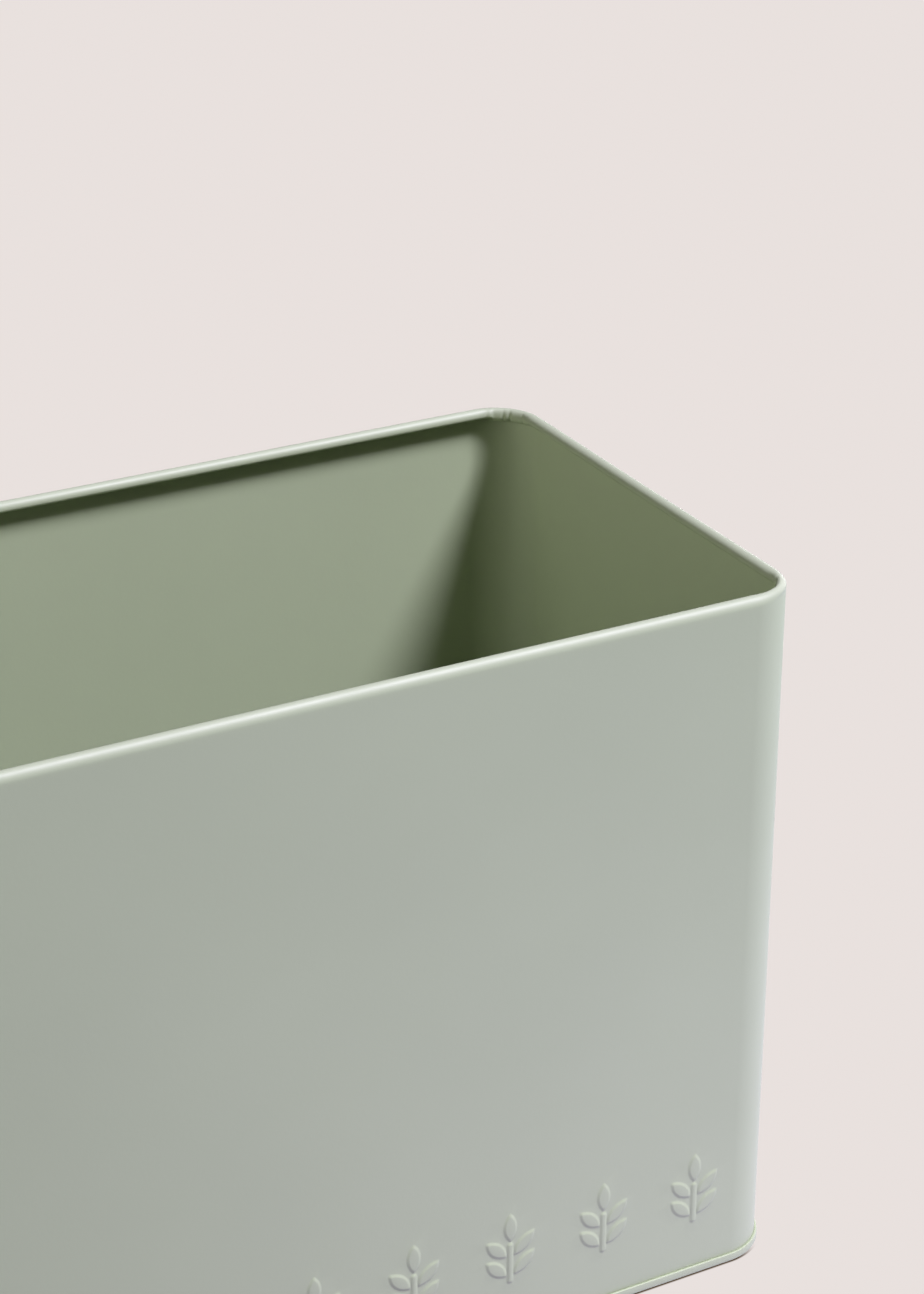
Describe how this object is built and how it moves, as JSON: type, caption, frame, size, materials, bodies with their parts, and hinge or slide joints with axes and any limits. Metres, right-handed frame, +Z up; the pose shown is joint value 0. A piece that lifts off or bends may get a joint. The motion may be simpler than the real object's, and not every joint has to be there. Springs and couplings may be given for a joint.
{
  "type": "bread bin",
  "caption": "Open rectangular bread bin of thin painted sheet steel, with rounded upright corners, an inward-rolled rim, pressed wheat ears and a double-seamed base.",
  "frame": {"origin": "centre of the footprint, on the surface the bin stands on", "axes": "+X to the right along the length of the bin, +Y from the marked front to the back, +Z up out of the open top"},
  "size_m": [0.332, 0.182, 0.24],
  "materials": {
    "wall_paint": "satin sage green powder coat",
    "base_paint": "satin sage green powder coat"
  },
  "bodies": {
    "root": {"wall_sheet": "wall_paint", "base_pan": "base_paint"}
  },
  "joints": []
}
